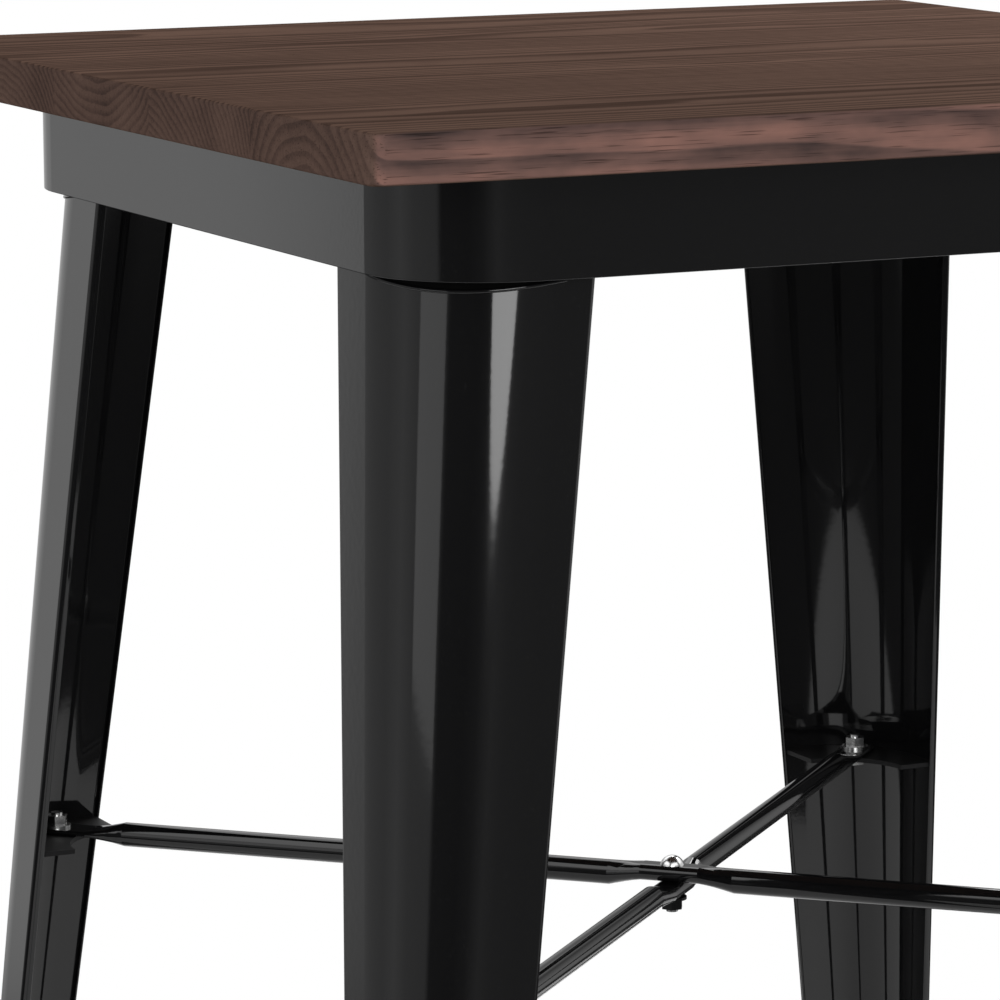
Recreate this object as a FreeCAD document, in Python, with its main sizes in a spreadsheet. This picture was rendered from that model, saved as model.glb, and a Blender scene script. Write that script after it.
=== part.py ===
"""Square bar-height table: stave-glued wood top on a pressed steel frame.

Four splayed, tapering sheet-steel legs rise into a steel apron under the top, and two
crossed tube braces tie the legs together. Millimetres, +Z up, origin on the floor under
the middle of the table, +X along the staves of the top.
"""

import FreeCAD
import Part
import Sketcher
import math
import os
import re

# Driving sizes: name, value in millimetres (or a plain ratio), meaning
SIZES = [
    ("table_height", 1016, "floor to the upper face of the top"),
    ("top_side", 597, "side of the square top"),
    ("top_thickness", 23.2, "thickness of the top"),
    ("stave_first", 133, "width of the first stave, at the front edge"),
    ("stave_second", 122, "width of the second stave; the third fills the middle"),
    ("stave_fourth", 112, "width of the fourth stave"),
    ("stave_fifth", 106, "width of the fifth stave, at the back edge"),
    ("edge_ease", 2, "rounding along the rim of the top"),
    ("corner_ease", 8, "rounding of the upright corners of the top"),
    ("top_overhang", 41.5, "top beyond the apron on each side"),
    ("apron_height", 50.4, "height of the apron skirt"),
    ("apron_gauge", 1.5, "sheet thickness of the apron"),
    ("apron_corner", 60, "outside corner radius of the apron"),
    ("apron_bend", 2.4, "outside bend between skirt and flange"),
    ("apron_rim", 0.5, "rounding of the lower rim of the skirt"),
    ("flange_width", 45, "inward top flange that carries the top"),
    ("flange_corner", 25, "corner radius of the opening inside the flange"),
    ("leg_gauge", 1.5, "sheet thickness of the legs"),
    ("leg_clearance", 5.4, "gap between a leg and the skirt at the lower rim"),
    ("leg_splay", 0.063, "outward run of each leg face per millimetre of drop"),
    ("leg_side_top", 101.3, "width of a leg's left or right face at the apron rim"),
    ("leg_front_top", 83.2, "width of a leg's front or back face at the apron rim"),
    ("leg_width_foot", 26, "width of each leg face at the floor"),
    ("leg_round_top", 67.8, "outside corner radius of a leg at the apron rim"),
    ("leg_round_foot", 18, "outside corner radius of a leg at the floor"),
    ("leg_fold", 1.5, "inside radius of the fold along the free edges"),
    ("leg_lip", 5, "depth of the lip folded in along the free edges"),
    ("leg_top_depth", 20.4, "underside of the top down to the upper end of a leg"),
    ("cap_thickness", 2.5, "plate welded on top of each leg"),
    ("gusset_side", 96, "leg of the corner plate inside the apron"),
    ("gusset_thickness", 3, "thickness of the corner plate"),
    ("gusset_relief", 2, "extra corner radius that clears the skirt"),
    ("gusset_round", 8, "rounding of the free corners of the corner plate"),
    ("glide_thickness", 4, "rubber under each foot"),
    ("plug_height", 15, "stub of the glide inside the foot"),
    ("plug_clearance", 1.3, "gap between the stub and the leg walls"),
    ("plug_round", 2, "rounding of the stub"),
    ("brace_height", 596.5, "axis of the upper brace above the floor"),
    ("tube_diameter", 12.7, "outside diameter of the brace tube"),
    ("tube_wall", 1.2, "wall of the brace tube"),
    ("brace_bolt_inset", 28.6, "brace end bolt to the leg faces, at the upper brace"),
    ("tongue_end", 9, "flattened end beyond the bolt"),
    ("tongue_inner", 20, "flattened end on the inner side of the bolt"),
    ("tongue_taper", 20, "run from the flattened end to the round tube"),
    ("tongue_width", 18.5, "width of the flattened end"),
    ("tongue_thickness", 2.8, "thickness of the flattened end"),
    ("dent_length", 31, "pressed seat where the braces cross"),
    ("dent_taper", 18, "run from the pressed seat to the round tube"),
    ("dent_width", 15.2, "width of the tube at the pressed seat"),
    ("dent_thickness", 8.3, "thickness of the tube at the pressed seat"),
    ("shelf_thickness", 2.5, "plate inside each leg that carries a brace end"),
    ("shelf_land", 15.4, "brace end bolt to the notch that lets the tube pass"),
    ("shelf_relief", 1.2, "extra corner radius that clears the leg"),
    ("brace_bolt", 6, "thread diameter of the brace bolts"),
    ("brace_bolt_flats", 10, "across flats of the brace nuts and bolt heads"),
    ("brace_bolt_head", 4, "height of the brace bolt heads"),
    ("brace_nut_height", 5, "height of the brace nuts"),
    ("brace_washer", 15, "outside diameter of the brace washers"),
    ("brace_washer_height", 1.4, "thickness of the brace washers"),
    ("dome_diameter", 12.5, "domed head over the crossing"),
    ("dome_height", 4.8, "height of the domed head"),
    ("leg_bolt", 8, "thread diameter of the leg bolts"),
    ("leg_bolt_flats", 13, "across flats of the leg nuts and bolt heads"),
    ("leg_bolt_head", 5.3, "height of the leg bolt heads"),
    ("leg_nut_height", 6.5, "height of the leg weld nuts"),
    ("leg_washer", 16, "outside diameter of the leg washers"),
    ("leg_washer_height", 1.6, "thickness of the leg washers"),
    ("leg_bolt_far", 58, "leg bolt to one face of the leg"),
    ("leg_bolt_near", 33, "leg bolt to the other face of the leg"),
    ("bolt_proud", 1.5, "bolt end beyond its nut"),
    ("hole_clearance", 0.6, "bolt hole over bolt diameter"),
    ("thread_clearance", 0.1, "nut bore over bolt diameter"),
    ("screw_diameter", 4, "shank of the wood screws"),
    ("screw_length", 16, "wood screw below the surface of the wood"),
    ("screw_tip", 2, "pilot hole beyond the screw tip"),
    ("screw_head", 8.5, "head diameter of the wood screws"),
    ("screw_head_height", 2.6, "head height of the wood screws"),
    ("screw_inset", 22, "wood screw to the outside of the skirt"),
    ("screw_spacing", 200, "distance between the two screws along a stave"),
    ("cut_margin", 1, "how far a cut runs past the face it opens"),
]

CORNERS = [("back", 0), ("left", 90), ("near", 180), ("right", 270)]
UPPER_CORNERS = ("left", "right")
QUARTER = math.pi / 2
Z_AXIS = FreeCAD.Vector(0, 0, 1)
START, END, CENTRE = range(1, 4)
AXIS_ACROSS, AXIS_UP = range(-1, -3, -1)
ROOT = (AXIS_ACROSS, START)
SAME = 1e-6
DIAGONAL = math.degrees(QUARTER / 2)

doc = FreeCAD.newDocument("BarTable")
sheet = doc.addObject("Spreadsheet::Sheet", "Sizes")
for row, (alias, value, meaning) in enumerate(SIZES, start=1):
    sheet.set(f"A{row}", alias)
    sheet.set(f"B{row}", str(value))
    sheet.set(f"C{row}", meaning)
    sheet.setAlias(f"B{row}", alias)
doc.recompute()
gauge = doc.addObject("App::FeaturePython", "Gauge")
nodes = []
NAMES = re.compile(r"\b(" + "|".join(alias for alias, _, _ in SIZES) + r")\b")


def size(text):
    """Expression text with every size name pointed at the sheet."""
    return NAMES.sub(r"Sizes.\1", text)


def number(text):
    """Present value of an expression."""
    value = gauge.evalExpression(size(text))
    return float(getattr(value, "Value", value))


# Heights and half widths that several pieces share
TOP_UNDER = "(table_height - top_thickness)"
TOP_HALF = "(top_side / 2)"
APRON_HALF = f"({TOP_HALF} - top_overhang)"
APRON_INNER = f"({APRON_HALF} - apron_gauge)"
APRON_BOTTOM = f"({TOP_UNDER} - apron_height)"
FLANGE_UNDER = f"({TOP_UNDER} - apron_gauge)"
LEG_TOP = f"({TOP_UNDER} - leg_top_depth)"
CAP_TOP = f"({LEG_TOP} + cap_thickness)"
GUSSET_TOP = f"({CAP_TOP} + gusset_thickness)"
UPPER_AXIS = "(brace_height)"
LOWER_AXIS = "(brace_height - 2 * (dent_thickness - tube_diameter / 2))"


def leg_half(height):
    """Middle of the table to a leg's outer face, at a height."""
    return f"({APRON_INNER} - leg_clearance + leg_splay * ({APRON_BOTTOM} - {height}))"


BOLT_PLACE = f"({leg_half(UPPER_AXIS)} - brace_bolt_inset)"
BRACE_REACH = f"({BOLT_PLACE} * sqrt(2))"


def along_leg(low, high, height):
    """A leg size that changes evenly from the floor to the apron rim."""
    return f"({low} + ({high} - {low}) * {height} / {APRON_BOTTOM})"


def leg_inner(corner, height):
    """Where a leg's two faces end, as (x, y), before the leg is turned to its corner."""
    side = f"({leg_half(height)} - {along_leg('leg_width_foot', 'leg_side_top', height)})"
    front = f"({leg_half(height)} - {along_leg('leg_width_foot', 'leg_front_top', height)})"
    return (side, front) if corner in UPPER_CORNERS else (front, side)


def leg_round(height):
    return along_leg("leg_round_foot", "leg_round_top", height)


def bind(target, path, text):
    target.setExpression(path, size(text))


def place(piece, across, along, height):
    """Bind the position of a Part primitive."""
    for axis, text in zip("xyz", (across, along, height)):
        bind(piece, f"Placement.Base.{axis}", text)


def turn(piece, degrees):
    piece.Placement = FreeCAD.Placement(FreeCAD.Vector(), FreeCAD.Rotation(Z_AXIS, degrees))


def finish_node(piece, label):
    piece.Label = label
    nodes.append(piece)
    return piece


def new_sketch(body, height, role="XY_Plane", shift="0"):
    """Sketch on one of the body's origin planes, moved along its normal and up in its plane."""
    sketch = body.newObject("Sketcher::SketchObject", "Sketch")
    plane = next(item for item in body.Origin.OriginFeatures if item.Role == role)
    sketch.AttachmentSupport = [(plane, "")]
    sketch.MapMode = "FlatFace"
    bind(sketch, "AttachmentOffset.Base.z", height)
    bind(sketch, "AttachmentOffset.Base.y", shift)
    return sketch


def measure(sketch, kind, first, second, text):
    """Add one dimension, bound to the sheet; first and second are (geometry, point)."""
    value = number(text)
    if value < 0:
        first, second, text = second, first, f"-({text})"
    index = sketch.addConstraint(Sketcher.Constraint(kind, *first, *second, abs(value)))
    bind(sketch, f"Constraints[{index}]", text)


def set_radius(sketch, geometry, text):
    index = sketch.addConstraint(Sketcher.Constraint("Radius", geometry, number(text)))
    bind(sketch, f"Constraints[{index}]", text)


def rectangle(sketch, low_x, low_y, high_x, high_y, radii):
    """Closed rectangle; radii run anticlockwise from the low corner, None for a sharp corner."""
    xs = number(low_x), number(high_x)
    ys = number(low_y), number(high_y)
    points = [FreeCAD.Vector(xs[i], ys[j], 0) for i, j in ((0, 0), (1, 0), (1, 1), (0, 1))]
    steps = [FreeCAD.Vector(x, y, 0) for x, y in ((1, 0), (0, 1), (-1, 0), (0, -1))]
    bends = [number(text) if text else 0 for text in radii]
    lines = []
    for i in range(4):
        j = (i + 1) % 4
        start = points[i] + steps[i] * bends[i]
        end = points[j] - steps[i] * bends[j]
        lines.append(sketch.addGeometry(Part.LineSegment(start, end)))
    for i, line in enumerate(lines):
        sketch.addConstraint(Sketcher.Constraint("Vertical" if i % 2 else "Horizontal", line))
        before = lines[i - 1]
        if not radii[i]:
            sketch.addConstraint(Sketcher.Constraint("Coincident", before, END, line, START))
            continue
        centre = points[i] + (steps[i] - steps[i - 1]) * bends[i]
        angle = math.pi + QUARTER * i
        circle = Part.Circle(centre, Z_AXIS, bends[i])
        arc = sketch.addGeometry(Part.ArcOfCircle(circle, angle, angle + QUARTER))
        sketch.addConstraint(Sketcher.Constraint("Tangent", before, END, arc, START))
        sketch.addConstraint(Sketcher.Constraint("Tangent", arc, END, line, START))
        set_radius(sketch, arc, radii[i])
    measure(sketch, "DistanceY", ROOT, (lines[0], START), low_y)
    measure(sketch, "DistanceX", ROOT, (lines[1], START), high_x)
    measure(sketch, "DistanceY", ROOT, (lines[2], START), high_y)
    measure(sketch, "DistanceX", ROOT, (lines[3], START), low_x)


def circles(sketch, places, diameter):
    """Equal circles at (x, y) expressions; "0" puts a centre on that axis."""
    radius = f"({diameter}) / 2"
    for x, y in places:
        centre = FreeCAD.Vector(number(x), number(y), 0)
        ring = sketch.addGeometry(Part.Circle(centre, Z_AXIS, number(radius)))
        for kind, text, axis in (("DistanceX", x, AXIS_UP), ("DistanceY", y, AXIS_ACROSS)):
            if text == "0":
                sketch.addConstraint(Sketcher.Constraint("PointOnObject", ring, CENTRE, axis))
            else:
                measure(sketch, kind, ROOT, (ring, CENTRE), text)
        set_radius(sketch, ring, radius)


def pad(body, sketch, length):
    feature = body.newObject("PartDesign::Pad", "Pad")
    feature.Profile = sketch
    bind(feature, "Length", length)
    doc.recompute()
    return feature


def cut_volume(body, feature, before):
    """Recompute, and make sure that a cut took material away."""
    doc.recompute()
    if not body.Shape.Volume < before:
        raise RuntimeError(f"{body.Name}: {feature.Name} cut nothing")
    return feature


def pocket(body, sketch, length, both_ways=False):
    """Cut upwards from the sketch by a length, or right through both ways."""
    before = body.Shape.Volume
    feature = body.newObject("PartDesign::Pocket", "Pocket")
    feature.Profile = sketch
    feature.Reversed = True
    feature.Midplane = both_ways
    bind(feature, "Length", length)
    return cut_volume(body, feature, before)


def loft(body, sections, subtract=False):
    """Straight-sided loft through sketches."""
    before = body.Shape.Volume if subtract else 0
    kind = "PartDesign::SubtractiveLoft" if subtract else "PartDesign::AdditiveLoft"
    feature = body.newObject(kind, "Loft")
    feature.Profile = sections[0]
    feature.Sections = sections[1:]
    feature.Ruled = True
    if subtract:
        return cut_volume(body, feature, before)
    doc.recompute()
    return feature


def fillet(body, base, chosen, radius):
    """Round the edges of a feature that a test picks out."""
    feature = body.newObject("PartDesign::Fillet", "Fillet")
    names = [f"Edge{i}" for i, edge in enumerate(base.Shape.Edges, start=1) if chosen(edge)]
    feature.Base = (base, names)
    bind(feature, "Radius", radius)
    doc.recompute()
    return feature


def is_level(edge):
    return edge.BoundBox.ZLength < SAME


def is_level_at(height):
    """Test for level edges at a height."""
    return lambda edge: is_level(edge) and abs(edge.BoundBox.ZMin - number(height)) < SAME


# The top: five staves, glued edge to edge
STAVE_LINES = [
    f"(-{TOP_HALF})",
    f"(stave_first - {TOP_HALF})",
    f"(stave_first + stave_second - {TOP_HALF})",
    f"({TOP_HALF} - stave_fifth - stave_fourth)",
    f"({TOP_HALF} - stave_fifth)",
    TOP_HALF,
]
STAVE_COUNT = len(STAVE_LINES) - 1
SCREW_LINE = f"({APRON_HALF} - screw_inset)"
SCREW_ROWS = [f"(-{SCREW_LINE})"]
for low, high in zip(STAVE_LINES[1:-2], STAVE_LINES[2:-1]):
    SCREW_ROWS.append(f"(({low} + {high}) / 2)")
SCREW_ROWS.append(SCREW_LINE)


def screw_places(row):
    """The two screws in a stave: near the ends of the inner staves, closer in on the outer ones."""
    outer = row in (0, len(SCREW_ROWS) - 1)
    reach = "(screw_spacing / 2)" if outer else SCREW_LINE
    return [(f"(-{reach})", SCREW_ROWS[row]), (reach, SCREW_ROWS[row])]


def make_stave(row):
    body = doc.addObject("PartDesign::Body", "Stave")
    low, high = STAVE_LINES[row], STAVE_LINES[row + 1]
    first = "corner_ease" if row == 0 else None
    last = "corner_ease" if row == STAVE_COUNT - 1 else None
    outline = new_sketch(body, TOP_UNDER)
    rectangle(outline, f"(-{TOP_HALF})", low, TOP_HALF, high, [first, first, last, last])
    board = pad(body, outline, "top_thickness")
    glue_lines = [number(line) for line in STAVE_LINES[1:-1]]

    def on_rim(edge):
        box = edge.BoundBox
        glued = any(max(abs(box.YMin - y), abs(box.YMax - y)) < SAME for y in glue_lines)
        return is_level(edge) and not glued

    fillet(body, board, on_rim, "edge_ease")
    holes = new_sketch(body, TOP_UNDER)
    circles(holes, screw_places(row), "screw_diameter + thread_clearance")
    pocket(body, holes, "screw_length + screw_tip")
    finish_node(body, f"top_stave_{row + 1}")


def make_apron():
    """Pressed frame: a skirt with rounded corners and an inward flange along its top."""
    body = doc.addObject("PartDesign::Body", "Apron")
    rims = []
    for half, corner in ((APRON_HALF, "apron_corner"), (APRON_INNER, "(apron_corner - apron_gauge)")):
        rim = new_sketch(body, APRON_BOTTOM)
        rectangle(rim, f"(-{half})", f"(-{half})", half, half, [corner] * 4)
        rims.append(rim)
    block = pad(body, rims[0], "apron_height")
    fillet(body, block, is_level_at(TOP_UNDER), "apron_bend")
    pocket(body, rims[1], "apron_height - apron_gauge")
    opening = new_sketch(body, APRON_BOTTOM)
    reach = f"({APRON_HALF} - flange_width)"
    rectangle(opening, f"(-{reach})", f"(-{reach})", reach, reach, ["flange_corner"] * 4)
    pocket(body, opening, "apron_height")
    holes = new_sketch(body, APRON_BOTTOM)
    places = [spot for row in range(len(SCREW_ROWS)) for spot in screw_places(row)]
    circles(holes, places, "screw_diameter + hole_clearance")
    sheet_metal = pocket(body, holes, "apron_height")
    fillet(body, sheet_metal, is_level_at(APRON_BOTTOM), "apron_rim")
    finish_node(body, "apron_frame")


def leg_section(body, corner, height, inset, fold, extra="0"):
    """Section of a leg with a large outer corner, drawn in by an inset."""
    sketch = new_sketch(body, height)
    high = f"({leg_half(height)} - {inset})"
    low_x, low_y = (f"({low} + {inset})" for low in leg_inner(corner, height))
    outer = f"({leg_round(height)} - {inset} + {extra})"
    rectangle(sketch, low_x, low_y, high, high, [None, fold, outer, fold])
    return sketch


def opening_section(body, corner, height):
    """The open inner side of a leg, between its two lips; its corner runs along with the leg's."""
    sketch = new_sketch(body, height)
    high = f"({leg_half(height)} - leg_lip)"
    low_x, low_y = (f"({low} - cut_margin)" for low in leg_inner(corner, height))
    rectangle(sketch, low_x, low_y, high, high, [None, None, f"({leg_round(height)} - leg_lip)", None])
    return sketch


def make_leg(corner, degrees):
    """Folded sheet: two tapering faces round a large corner, with a lip along each free edge."""
    body = doc.addObject("PartDesign::Body", "Leg")
    ends = ("glide_thickness", LEG_TOP)
    loft(body, [leg_section(body, corner, height, "0", "(leg_fold + leg_gauge)") for height in ends])
    loft(body, [leg_section(body, corner, height, "leg_gauge", "leg_fold") for height in ends], subtract=True)
    loft(body, [opening_section(body, corner, height) for height in ends], subtract=True)
    turn(body, degrees)
    finish_node(body, f"leg_{corner}")


def leg_bolt_places(half):
    far = f"({half} - leg_bolt_far)"
    near = f"({half} - leg_bolt_near)"
    return [(far, near), (near, far)]


LEG_BOLT_SPOTS = leg_bolt_places(leg_half(LEG_TOP))


def make_cap(corner, degrees):
    """Plate welded across the top of a leg, with two bolt holes."""
    body = doc.addObject("PartDesign::Body", "Cap")
    plate = leg_section(body, corner, LEG_TOP, "0", "(leg_fold + leg_gauge)")
    pad(body, plate, "cap_thickness")
    holes = new_sketch(body, LEG_TOP)
    circles(holes, LEG_BOLT_SPOTS, "leg_bolt + hole_clearance")
    pocket(body, holes, "cap_thickness")
    turn(body, degrees)
    finish_node(body, f"leg_cap_{corner}")


def make_gusset(corner, degrees):
    """Corner plate welded between two sides of the skirt."""
    body = doc.addObject("PartDesign::Body", "Gusset")
    plate = new_sketch(body, CAP_TOP)
    low = f"({APRON_INNER} - gusset_side)"
    outer = "(apron_corner - apron_gauge + gusset_relief)"
    free = "gusset_round"
    rectangle(plate, low, low, APRON_INNER, APRON_INNER, [free, free, outer, free])
    pad(body, plate, "gusset_thickness")
    holes = new_sketch(body, CAP_TOP)
    circles(holes, LEG_BOLT_SPOTS, "leg_bolt + hole_clearance")
    pocket(body, holes, "gusset_thickness")
    turn(body, degrees)
    finish_node(body, f"apron_gusset_{corner}")


def make_glide(corner, degrees):
    """Rubber foot: a pad under the leg and a stub inside it."""
    body = doc.addObject("PartDesign::Body", "Glide")
    foot = "glide_thickness"
    sole = new_sketch(body, "0")
    low_x, low_y = leg_inner(corner, foot)
    high = leg_half(foot)
    fold = "(leg_fold + leg_gauge)"
    rectangle(sole, low_x, low_y, high, high, [fold, fold, leg_round(foot), fold])
    pad(body, sole, "glide_thickness")
    stub = new_sketch(body, "glide_thickness")
    gap = "(leg_gauge + plug_clearance)"
    stub_round = f"({leg_round(foot)} - {gap})"
    reach = f"({high} - {gap})"
    free = "plug_round"
    rectangle(stub, f"({low_x} + {gap})", f"({low_y} + {gap})", reach, reach, [free, free, stub_round, free])
    pad(body, stub, "plug_height")
    turn(body, degrees)
    finish_node(body, f"foot_glide_{corner}")


def brace_axis(corner):
    return UPPER_AXIS if corner in UPPER_CORNERS else LOWER_AXIS


def make_shelf(corner, degrees):
    """Small plate welded inside a leg, under the flattened end of a brace."""
    body = doc.addObject("PartDesign::Body", "Shelf")
    upper = f"({brace_axis(corner)} - tongue_thickness / 2)"
    lower = f"({upper} - shelf_thickness)"
    ends = (lower, upper)
    free = "(leg_fold + shelf_relief)"
    loft(body, [leg_section(body, corner, height, "leg_gauge", free, "shelf_relief") for height in ends])
    notch = new_sketch(body, lower)
    inner = [f"({low} + leg_gauge)" for low in leg_inner(corner, lower)]
    squares = " + ".join(f"({BOLT_PLACE} - {low}) * ({BOLT_PLACE} - {low})" for low in inner)
    circles(notch, [inner], f"2 * (sqrt({squares}) - shelf_land)")
    pocket(body, notch, "shelf_thickness")
    hole = new_sketch(body, lower)
    circles(hole, [(BOLT_PLACE, BOLT_PLACE)], "brace_bolt + hole_clearance")
    pocket(body, hole, "shelf_thickness")
    turn(body, degrees)
    finish_node(body, f"brace_shelf_{corner}")


def round_section(body, station, inset):
    """Circle in four arcs, square to the brace."""
    sketch = new_sketch(body, station, "YZ_Plane")
    radius = f"(tube_diameter / 2 - {inset})"
    circle = Part.Circle(FreeCAD.Vector(), Z_AXIS, number(radius))
    arcs = []
    for i in range(4):
        angle = QUARTER / 2 + QUARTER * i
        arcs.append(sketch.addGeometry(Part.ArcOfCircle(circle, angle, angle + QUARTER)))
    for i, arc in enumerate(arcs):
        sketch.addConstraint(Sketcher.Constraint("Coincident", arc, CENTRE, *ROOT))
        if i:
            sketch.addConstraint(Sketcher.Constraint("Coincident", arcs[i - 1], END, arc, START))
        across = "Vertical" if i % 2 else "Horizontal"
        sketch.addConstraint(Sketcher.Constraint(across, arc, START, arc, END))
    set_radius(sketch, arcs[0], radius)
    measure(sketch, "DistanceX", (arcs[0], END), (arcs[0], START), f"({radius} * sqrt(2))")
    return sketch


def flat_section(body, station, shift, width, thickness, inset):
    """Flattened tube: two flats joined by half rounds, square to the brace."""
    sketch = new_sketch(body, station, "YZ_Plane", shift)
    radius = f"({thickness} / 2 - {inset})"
    run = f"({width} - {thickness})"
    reach = number(run) / 2
    bend = number(radius)
    upper = Part.LineSegment(FreeCAD.Vector(reach, bend, 0), FreeCAD.Vector(-reach, bend, 0))
    lower = Part.LineSegment(FreeCAD.Vector(-reach, -bend, 0), FreeCAD.Vector(reach, -bend, 0))
    left = Part.ArcOfCircle(Part.Circle(FreeCAD.Vector(-reach, 0, 0), Z_AXIS, bend), QUARTER, 3 * QUARTER)
    right = Part.ArcOfCircle(Part.Circle(FreeCAD.Vector(reach, 0, 0), Z_AXIS, bend), -QUARTER, QUARTER)
    chain = [sketch.addGeometry(item) for item in (upper, left, lower, right)]
    for before, after in zip(chain, chain[1:] + chain[:1]):
        sketch.addConstraint(Sketcher.Constraint("Tangent", before, END, after, START))
    for line in (chain[0], chain[2]):
        sketch.addConstraint(Sketcher.Constraint("Horizontal", line))
    sketch.addConstraint(Sketcher.Constraint("Symmetric", chain[1], CENTRE, chain[3], CENTRE, *ROOT))
    set_radius(sketch, chain[1], radius)
    measure(sketch, "DistanceX", (chain[1], CENTRE), (chain[3], CENTRE), run)
    return sketch


def brace_sections(body, side, inset):
    """Sections of a brace from one flattened end to the other; side is the way the dent leaves."""
    dent_shift = f"({side} * (tube_diameter - dent_thickness) / 2)"
    half_dent = "(dent_length / 2)"

    def tongue(station):
        return flat_section(body, station, "0", "tongue_width", "tongue_thickness", inset)

    def dent(station):
        return flat_section(body, station, dent_shift, "dent_width", "dent_thickness", inset)

    def tube(station):
        return round_section(body, station, inset)

    half = [
        (tongue, f"({BRACE_REACH} + tongue_end)"),
        (tongue, f"({BRACE_REACH} - tongue_inner)"),
        (tube, f"({BRACE_REACH} - tongue_inner - tongue_taper)"),
        (tube, f"({half_dent} + dent_taper)"),
        (dent, half_dent),
    ]
    sections = [make(f"(-{station})") for make, station in half]
    return sections + [make(station) for make, station in reversed(half)]


def make_brace(label, axis, side, degrees):
    """Diagonal tube with flattened ends and a pressed seat in the middle."""
    body = doc.addObject("PartDesign::Body", "Brace")
    loft(body, brace_sections(body, side, "0"))
    loft(body, brace_sections(body, side, "tube_wall"), subtract=True)
    holes = new_sketch(body, "0")
    places = [(f"(-{BRACE_REACH})", "0"), ("0", "0"), (BRACE_REACH, "0")]
    circles(holes, places, "brace_bolt + hole_clearance")
    pocket(body, holes, "2 * tube_diameter", both_ways=True)
    turn(body, degrees)
    bind(body, "Placement.Base.z", axis)
    finish_node(body, label)


def cylinder(diameter, height, spot):
    piece = doc.addObject("Part::Cylinder", "Round")
    bind(piece, "Radius", f"({diameter}) / 2")
    bind(piece, "Height", height)
    place(piece, *spot)
    return piece


def hexagon(flats, height, spot):
    piece = doc.addObject("Part::Prism", "Hexagon")
    piece.Polygon = 6
    bind(piece, "Circumradius", f"({flats}) / sqrt(3)")
    bind(piece, "Height", height)
    place(piece, *spot)
    return piece


def combine(kind, base, tool):
    piece = doc.addObject(kind, "Combined")
    piece.Base = base
    piece.Tool = tool
    return piece


def raised(spot, amount):
    return spot[0], spot[1], f"({spot[2]} + {amount})"


def bolt(spot, flats, head, diameter, length):
    """Hexagon bolt, head down; spot is the bearing face of its head."""
    head_piece = hexagon(flats, head, raised(spot, f"(-{head})"))
    return combine("Part::Fuse", head_piece, cylinder(diameter, length, spot))


def washer(spot, diameter, bore, height):
    return combine("Part::Cut", cylinder(diameter, height, spot), cylinder(bore, height, spot))


def nut(spot, flats, bore, height):
    return combine("Part::Cut", hexagon(flats, height, spot), cylinder(bore, height, spot))


def screw(spot):
    """Wood screw from below; spot is the bearing face of its head."""
    head = cylinder("screw_head", "screw_head_height", raised(spot, "(-screw_head_height)"))
    shank = cylinder("screw_diameter", "(apron_gauge + screw_length)", spot)
    return combine("Part::Fuse", head, shank)


def domed_bolt(spot, length):
    """Round-headed bolt, head up; spot is the bearing face of its head."""
    radius = "((dome_diameter * dome_diameter / 4 + dome_height * dome_height) / (2 * dome_height))"
    dome = doc.addObject("Part::Sphere", "Dome")
    bind(dome, "Radius", radius)
    bind(dome, "Angle1", f"asin(({radius} - dome_height) / {radius})")
    place(dome, *raised(spot, f"(dome_height - {radius})"))
    shank = cylinder("brace_bolt", length, raised(spot, f"(-{length})"))
    return combine("Part::Fuse", dome, shank)


def group(pieces, label):
    """Several equal fasteners as one node."""
    piece = doc.addObject("Part::Compound", "Group")
    piece.Links = pieces
    finish_node(piece, label)


def mirrored(spots):
    """The same (x, y) places in all four corners."""
    signs = ((1, 1), (-1, 1), (-1, -1), (1, -1))
    return [(f"({sx} * {x})", f"({sy} * {y})") for x, y in spots for sx, sy in signs]


def make_top_fasteners():
    spots = [spot for row in range(len(SCREW_ROWS)) for spot in screw_places(row)]
    group([screw((x, y, FLANGE_UNDER)) for x, y in spots], "top_screws")


def make_leg_fasteners():
    """Two bolts up through each cap and corner plate into nuts welded above."""
    bearing = f"({LEG_TOP} - leg_washer_height)"
    grip = "(leg_washer_height + cap_thickness + gusset_thickness + leg_nut_height + bolt_proud)"
    spots = mirrored(LEG_BOLT_SPOTS)
    bolts = [bolt((x, y, bearing), "leg_bolt_flats", "leg_bolt_head", "leg_bolt", grip) for x, y in spots]
    group(bolts, "leg_bolts")
    bore = "(leg_bolt + hole_clearance)"
    washers = [washer((x, y, bearing), "leg_washer", bore, "leg_washer_height") for x, y in spots]
    group(washers, "leg_bolt_washers")
    bore = "(leg_bolt + thread_clearance)"
    nuts = [nut((x, y, GUSSET_TOP), "leg_bolt_flats", bore, "leg_nut_height") for x, y in spots]
    group(nuts, "leg_weld_nuts")


def make_brace_fasteners():
    """A bolt up through each shelf and brace end, with washer and nut on top."""
    grip = "(shelf_thickness + tongue_thickness + brace_washer_height + brace_nut_height + bolt_proud)"
    bolts = []
    washers = []
    nuts = []
    for (corner, _), (x, y) in zip(CORNERS, mirrored([(BOLT_PLACE, BOLT_PLACE)])):
        upper = f"({brace_axis(corner)} + tongue_thickness / 2)"
        under = f"({brace_axis(corner)} - tongue_thickness / 2 - shelf_thickness)"
        bolts.append(bolt((x, y, under), "brace_bolt_flats", "brace_bolt_head", "brace_bolt", grip))
        bore = "(brace_bolt + hole_clearance)"
        washers.append(washer((x, y, upper), "brace_washer", bore, "brace_washer_height"))
        seat = f"({upper} + brace_washer_height)"
        bore = "(brace_bolt + thread_clearance)"
        nuts.append(nut((x, y, seat), "brace_bolt_flats", bore, "brace_nut_height"))
    group(bolts, "brace_end_bolts")
    group(washers, "brace_end_washers")
    group(nuts, "brace_end_nuts")


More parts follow.
